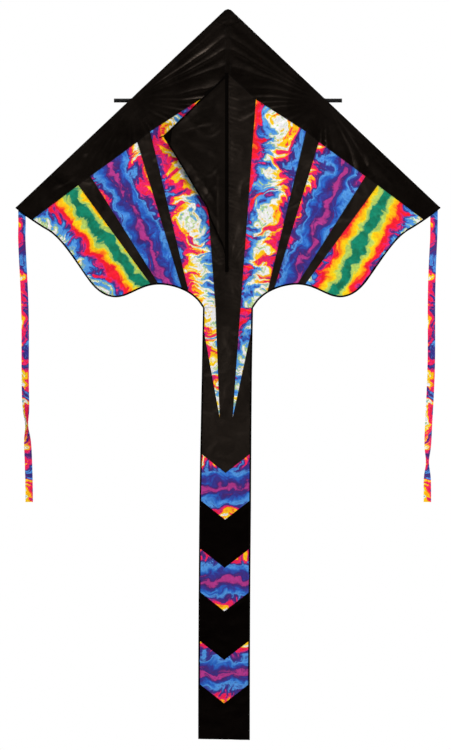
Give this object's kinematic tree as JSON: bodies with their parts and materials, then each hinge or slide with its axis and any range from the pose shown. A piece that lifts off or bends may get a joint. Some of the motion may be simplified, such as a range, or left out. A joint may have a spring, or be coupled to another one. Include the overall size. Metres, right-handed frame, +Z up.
{
  "type": "delta kite",
  "caption": "Delta kite: a swept fabric sail on thin rods, a keel that folds flat with a tow loop at its corner, a long flat tail with chevrons and a streamer at each wing tip.",
  "frame": {"origin": "tip of the nose, in the plane of the sail", "axes": "+Z up along the spine towards the nose, +X across the span to the viewer's right when the keel side faces the viewer, -Y out of the keel side, +Y out of the frame side"},
  "size_m": [1.17, 0.0378, 2.009],
  "materials": {
    "cloth_black": "satin",
    "tape_black": "matte",
    "dye_rose": "satin",
    "dye_violet": "satin",
    "dye_green": "satin",
    "dye_band": "satin",
    "dye_ribbon": "satin",
    "rod_black": "satin",
    "vinyl_black": "satin"
  },
  "bodies": {
    "centre": {"spine_rod": "rod_black", "spine_sleeve": "cloth_black", "spine_pocket": "tape_black", "nose_patch": "tape_black", "left_nose_gore": "cloth_black", "right_nose_gore": "cloth_black", "left_centre_panel": "cloth_black", "right_centre_panel": "cloth_black", "left_inner_gore": "dye_rose", "right_inner_gore": "dye_rose"},
    "left_wing": {"left_leading_panel": "cloth_black", "left_centre_gore": "cloth_black", "left_inner_panel": "dye_rose", "left_inner_stripe": "cloth_black", "left_middle_panel": "dye_violet", "left_outer_stripe": "cloth_black", "left_outer_panel": "dye_green", "left_trailing_binding": "tape_black", "left_leading_sleeve": "cloth_black", "left_leading_rod": "rod_black", "left_tip_pocket": "tape_black", "left_spar_stops": "vinyl_black", "left_streamer_tab": "dye_ribbon"},
    "right_wing": {"right_leading_panel": "cloth_black", "right_centre_gore": "cloth_black", "right_inner_panel": "dye_rose", "right_inner_stripe": "cloth_black", "right_middle_panel": "dye_violet", "right_outer_stripe": "cloth_black", "right_outer_panel": "dye_green", "right_trailing_binding": "tape_black", "right_leading_sleeve": "cloth_black", "right_leading_rod": "rod_black", "right_tip_pocket": "tape_black", "right_spar_stops": "vinyl_black", "right_streamer_tab": "dye_ribbon"},
    "left_fitting": {"left_fitting": "vinyl_black"},
    "right_fitting": {"right_fitting": "vinyl_black"},
    "spreader": {"spreader_rod": "rod_black"},
    "keel": {"keel_panel": "cloth_black", "keel_root_hem": "tape_black", "keel_tow_patch": "tape_black", "tow_loop": "tape_black"},
    "tail_upper": {"tail_top_panel": "cloth_black", "tail_left_spike": "dye_rose", "tail_right_spike": "dye_rose", "tail_chevron_1": "dye_band", "tail_black_1_upper": "cloth_black", "tail_upper_hems": "tape_black"},
    "tail_lower": {"tail_black_1_lower": "cloth_black", "tail_chevron_2": "dye_band", "tail_black_2": "cloth_black", "tail_chevron_3": "dye_band", "tail_end_panel": "cloth_black", "tail_lower_hems": "tape_black", "tail_end_hem": "tape_black"},
    "left_streamer": {"left_streamer": "dye_ribbon"},
    "right_streamer": {"right_streamer": "dye_ribbon"}
  },
  "joints": [
    {"name": "right_wing_flex", "type": "hinge", "parent": "centre", "child": "right_wing", "pos_m": [0, 0, 0], "axis": [-0.0836, 0, 0.9965], "range_deg": [0, 10], "stiffness_Nm_per_rad": 0.05},
    {"name": "left_wing_flex", "type": "hinge", "parent": "centre", "child": "left_wing", "pos_m": [0, 0, 0], "axis": [-0.0836, 0, -0.9965], "range_deg": [0, 10]},
    {"name": "right_fitting_turn", "type": "hinge", "parent": "right_wing", "child": "right_fitting", "pos_m": [0.26637, 0.005, -0.2505], "axis": [-0.0836, 0, 0.9965], "range_deg": [-10, 0]},
    {"name": "left_fitting_turn", "type": "hinge", "parent": "left_wing", "child": "left_fitting", "pos_m": [-0.26637, 0.005, -0.2505], "axis": [-0.0836, 0, -0.9965], "range_deg": [-10, 0]},
    {"name": "spreader_lift", "type": "slide", "parent": "centre", "child": "spreader", "axis": [0, 1, -0.009], "range_m": [0, 0.04238]},
    {"name": "keel_swing", "type": "hinge", "parent": "centre", "child": "keel", "pos_m": [0, -0.0017, 0], "axis": [0, 0, 1], "range_deg": [0, 170]},
    {"name": "tail_swing", "type": "hinge", "parent": "centre", "child": "tail_upper", "pos_m": [0, 0, -0.822], "axis": [1, 0, 0], "range_deg": [-60, 60]},
    {"name": "tail_curl", "type": "hinge", "parent": "tail_upper", "child": "tail_lower", "pos_m": [0, 0, -1.444], "axis": [1, 0, 0], "range_deg": [-75, 75]},
    {"name": "left_streamer_swing", "type": "hinge", "parent": "left_wing", "child": "left_streamer", "pos_m": [-0.56675, 0.0012, -0.577], "axis": [1, 0, 0], "range_deg": [-75, 75]},
    {"name": "right_streamer_swing", "type": "hinge", "parent": "right_wing", "child": "right_streamer", "pos_m": [0.56675, 0.0012, -0.577], "axis": [1, 0, 0], "range_deg": [-75, 75]}
  ],
  "couplings": [
    {"joint": "left_wing_flex", "follows": "right_wing_flex", "ratio": 1},
    {"joint": "right_fitting_turn", "follows": "right_wing_flex", "ratio": -1},
    {"joint": "left_fitting_turn", "follows": "right_wing_flex", "ratio": -1},
    {"joint": "spreader_lift", "follows": "right_wing_flex", "m_per_rad": 0.24282}
  ]
}
